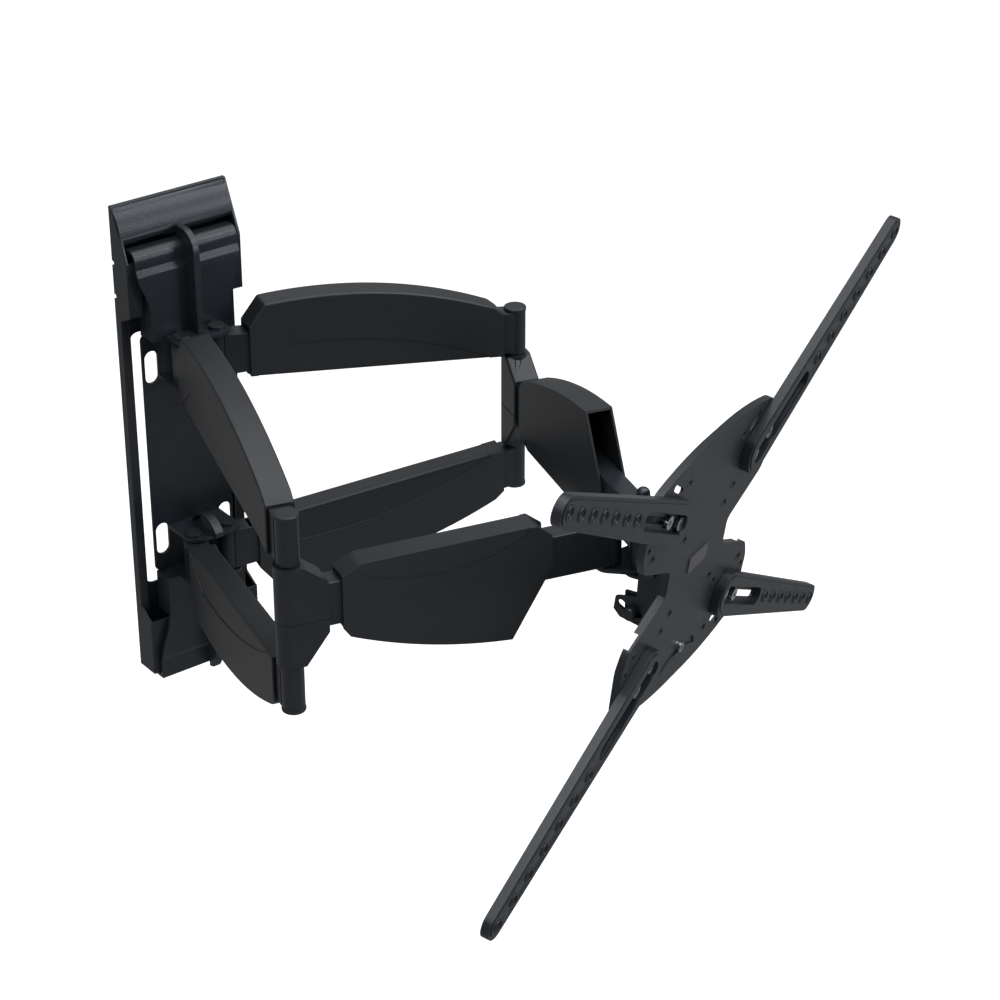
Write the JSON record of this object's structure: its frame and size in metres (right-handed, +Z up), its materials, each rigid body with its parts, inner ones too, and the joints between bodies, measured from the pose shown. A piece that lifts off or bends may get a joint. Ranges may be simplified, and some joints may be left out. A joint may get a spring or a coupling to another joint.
{
  "type": "full motion tv wall mount",
  "caption": "Wall bracket with two linked folding arms, a swivelling and tilting head, and a television plate with long slotted extension arms.",
  "frame": {"origin": "centre of the wall plate's back face, midway between the two stud bolt holes", "axes": "+Y into the wall, -Y into the room, +Z up, +X to the right seen from the room"},
  "size_m": [0.6368, 0.6218, 0.4757],
  "materials": {
    "black_steel": "satin powder coat",
    "black_plastic": "fine satin texture",
    "nylon": "plain",
    "dark_steel": "black oxide",
    "zinc_screws": "zinc",
    "badge_metal": "brushed"
  },
  "bodies": {
    "wall_frame": {"cable_clip": "black_plastic", "carriage_back": "black_steel", "carriage_fins": "black_steel", "carriage_lower_box": "black_steel", "carriage_top_box": "black_steel", "lower_pivot_lug": "black_steel", "lower_wall_pins": "dark_steel", "securing_screws": "zinc_screws", "upper_pivot_lug": "black_steel", "upper_wall_pins": "dark_steel", "wall_plate": "black_steel"},
    "left_rear_arm": {"left_upper_arm": "black_steel", "left_lower_arm": "black_steel", "left_upper_cover": "black_plastic", "left_lower_cover": "black_plastic", "left_wall_bushes": "nylon", "left_elbow_pin": "dark_steel", "left_elbow_caps": "black_plastic"},
    "left_front_arm": {"left_elbow_housing_top": "black_steel", "left_elbow_housing_base": "black_steel", "left_elbow_bushes": "nylon", "left_forearm": "black_steel", "left_forearm_cover": "black_plastic", "left_head_bush": "nylon"},
    "right_rear_arm": {"right_upper_arm": "black_steel", "right_lower_arm": "black_steel", "right_upper_cover": "black_plastic", "right_lower_cover": "black_plastic", "right_wall_bushes": "nylon", "right_elbow_pin": "dark_steel", "right_elbow_caps": "black_plastic"},
    "right_front_arm": {"right_elbow_housing_top": "black_steel", "right_elbow_housing_base": "black_steel", "right_elbow_bushes": "nylon", "right_forearm": "black_steel", "right_forearm_cover": "black_plastic", "right_head_bush": "nylon"},
    "yoke": {"yoke_top_plate": "black_steel", "yoke_base_plate": "black_steel", "yoke_barrel": "black_steel", "head_pivot_pins": "dark_steel", "dome_caps": "dark_steel"},
    "swivel_head": {"swivel_bracket": "black_steel", "swivel_pin": "dark_steel", "tilt_axle": "dark_steel", "tilt_nut": "dark_steel", "clamp_bolt": "dark_steel", "friction_washers": "nylon"},
    "tv_bracket": {"tilt_ears": "black_steel", "tv_plate": "black_steel", "badge": "badge_metal", "level_screw": "zinc_screws", "extension_screws": "zinc_screws"},
    "upper_left_extension_arm": {"upper_left_extension": "black_steel"},
    "upper_right_extension_arm": {"upper_right_extension": "black_steel"},
    "lower_left_extension_arm": {"lower_left_extension": "black_steel"},
    "lower_right_extension_arm": {"lower_right_extension": "black_steel"}
  },
  "joints": [
    {"name": "arm_fold", "type": "hinge", "parent": "wall_frame", "child": "left_rear_arm", "pos_m": [-0.018, -0.044, -0.012], "axis": [0, 0, 1], "range_deg": [-12, 34]},
    {"name": "right_arm_fold", "type": "hinge", "parent": "wall_frame", "child": "right_rear_arm", "pos_m": [0.018, -0.044, -0.012], "axis": [0, 0, 1], "range_deg": [-34, 12]},
    {"name": "left_elbow", "type": "hinge", "parent": "left_rear_arm", "child": "left_front_arm", "pos_m": [-0.09452, -0.32372, -0.012], "axis": [0, 0, 1], "range_deg": [-68, 24]},
    {"name": "right_elbow", "type": "hinge", "parent": "right_rear_arm", "child": "right_front_arm", "pos_m": [0.29851, -0.11759, -0.012], "axis": [0, 0, 1], "range_deg": [-24, 68]},
    {"name": "head_pivot", "type": "hinge", "parent": "left_front_arm", "child": "yoke", "pos_m": [0.18598, -0.39731, -0.006], "axis": [0, 0, 1], "range_deg": [-12, 34]},
    {"name": "head_swivel", "type": "hinge", "parent": "yoke", "child": "swivel_head", "pos_m": [0.20398, -0.41531, -0.006], "axis": [0, 0, 1], "range_deg": [-40, 30]},
    {"name": "tv_tilt", "type": "hinge", "parent": "swivel_head", "child": "tv_bracket", "pos_m": [0.21546, -0.44303, -0.006], "axis": [0.9239, 0.3827, 0], "range_deg": [-13.7, 6.3]},
    {"name": "upper_left_slide", "type": "slide", "parent": "tv_bracket", "child": "upper_left_extension_arm", "axis": [0.78, 0.4025, -0.4792], "range_m": [0, 0.025]},
    {"name": "upper_right_slide", "type": "slide", "parent": "tv_bracket", "child": "upper_right_extension_arm", "axis": [-0.8361, -0.267, -0.4792], "range_m": [0, 0.025]},
    {"name": "lower_left_slide", "type": "slide", "parent": "tv_bracket", "child": "lower_left_extension_arm", "axis": [0.8361, 0.267, 0.4792], "range_m": [0, 0.025]},
    {"name": "lower_right_slide", "type": "slide", "parent": "tv_bracket", "child": "lower_right_extension_arm", "axis": [-0.78, -0.4025, 0.4792], "range_m": [0, 0.025]}
  ],
  "couplings": [
    {"joint": "right_arm_fold", "follows": "arm_fold", "ratio": -1},
    {"joint": "left_elbow", "follows": "arm_fold", "ratio": -2},
    {"joint": "right_elbow", "follows": "arm_fold", "ratio": 2},
    {"joint": "head_pivot", "follows": "arm_fold", "ratio": 1}
  ]
}
